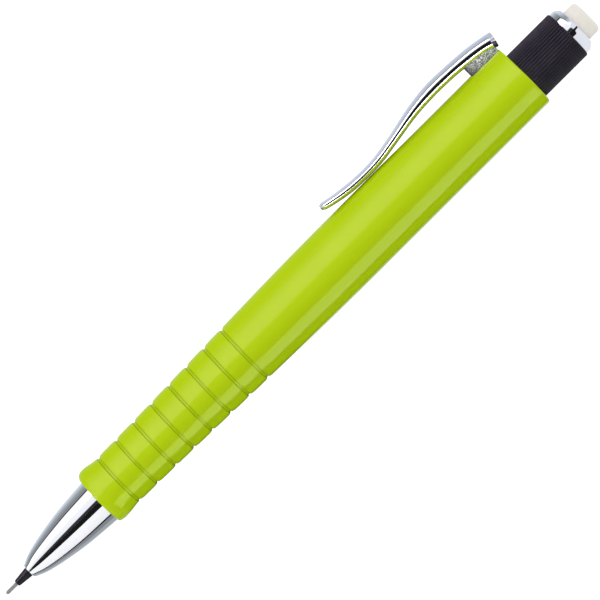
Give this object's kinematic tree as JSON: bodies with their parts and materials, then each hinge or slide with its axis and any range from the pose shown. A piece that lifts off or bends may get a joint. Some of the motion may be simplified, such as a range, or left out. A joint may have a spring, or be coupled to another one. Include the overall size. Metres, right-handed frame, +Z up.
{
  "type": "mechanical pencil",
  "caption": "Automatic-feed mechanical pencil: rounded triangular barrel with grip grooves, chrome nose cone and clip, sliding tip sleeve, fluted push knob and twist-out eraser.",
  "frame": {"origin": "under the pencil's mid-length, on the plane of the barrel's flat underside", "axes": "+X along the pencil from the lead to the eraser, +Z up through the clip, +Y across"},
  "size_m": [0.1458, 0.0134, 0.0176],
  "materials": {
    "barrel_green": "soft-touch satin lime green, with a faint orange-peel grain",
    "chrome": "bright polished chrome plate",
    "sleeve_black": "satin black engineering plastic",
    "knob_black": "satin black plastic, finely fluted",
    "eraser_white": "matte warm white vinyl eraser",
    "graphite": "dark grey polymer graphite with a faint sheen",
    "brass": "turned brass with fine tool marks",
    "spring_steel": "drawn spring wire",
    "ball_steel": "polished bearing steel",
    "rubber_grey": "dark grey rubber",
    "inner_black": "black moulded acetal",
    "inner_natural": "natural white moulded plastic"
  },
  "bodies": {
    "barrel": {"barrel": "barrel_green", "nose_cone": "chrome", "chuck_holder": "brass", "spring_housing": "inner_black", "guide_bush": "inner_black", "clip_foot": "chrome"},
    "slider": {"tip_sleeve": "sleeve_black", "tip_slider": "brass", "lead_retainer": "rubber_grey", "tip_spring": "spring_steel"},
    "lead": {"lead": "graphite"},
    "pusher": {"chuck_socket": "inner_black", "lead_tube": "inner_natural", "spare_leads": "graphite", "chuck_spring": "spring_steel"},
    "jaw_left": {"jaw_left": "brass", "balls_left": "ball_steel"},
    "jaw_right": {"jaw_right": "brass", "balls_right": "ball_steel"},
    "cap": {"eraser_plug": "inner_natural", "twist_ring": "rubber_grey", "eraser_guide": "inner_natural"},
    "knob": {"knob": "knob_black", "collar": "chrome", "spiral_tube": "inner_black"},
    "eraser": {"eraser": "eraser_white", "eraser_carrier": "inner_natural"},
    "clip": {"clip": "chrome"}
  },
  "joints": [
    {"name": "knob_push", "type": "slide", "parent": "barrel", "child": "pusher", "axis": [-1, 0, 0], "range_m": [0, 0.0035], "stiffness_N_per_m": 1100, "springref_m": -0.001, "deforming": ["chuck_spring"]},
    {"name": "jaw_left_open", "type": "hinge", "parent": "pusher", "child": "jaw_left", "pos_m": [-0.03115, 0.0006, 0.0061], "axis": [0, 0, -1], "range_deg": [0, 1.6]},
    {"name": "jaw_right_open", "type": "hinge", "parent": "pusher", "child": "jaw_right", "pos_m": [-0.03115, -0.0006, 0.0061], "axis": [0, 0, 1], "range_deg": [0, 1.6]},
    {"name": "tip_slide", "type": "slide", "parent": "barrel", "child": "slider", "axis": [1, 0, 0], "range_m": [0, 0.003], "stiffness_N_per_m": 60, "springref_m": -0.002, "deforming": ["tip_spring"]},
    {"name": "lead_feed", "type": "slide", "parent": "barrel", "child": "lead", "axis": [-1, 0, 0], "range_m": [-0.0025, 0.006]},
    {"name": "cap_pull", "type": "slide", "parent": "pusher", "child": "cap", "axis": [1, 0, 0], "range_m": [0, 0.03]},
    {"name": "knob_twist", "type": "hinge", "parent": "cap", "child": "knob", "pos_m": [0.05705, 0, 0.0061], "axis": [1, 0, 0], "range_deg": [-60, 1080]},
    {"name": "eraser_advance", "type": "slide", "parent": "cap", "child": "eraser", "axis": [1, 0, 0], "range_m": [-0.001, 0.018]},
    {"name": "clip_flex", "type": "hinge", "parent": "barrel", "child": "clip", "pos_m": [0.05555, 0, 0.0147], "axis": [0, 1, 0], "range_deg": [0, 4], "stiffness_Nm_per_rad": 4, "springref_deg": -0.57}
  ],
  "couplings": [
    {"joint": "jaw_left_open", "follows": "knob_push", "rad_per_m": 7.9707},
    {"joint": "jaw_right_open", "follows": "knob_push", "rad_per_m": 7.9707},
    {"joint": "knob_twist", "follows": "eraser_advance", "rad_per_m": 1047}
  ]
}
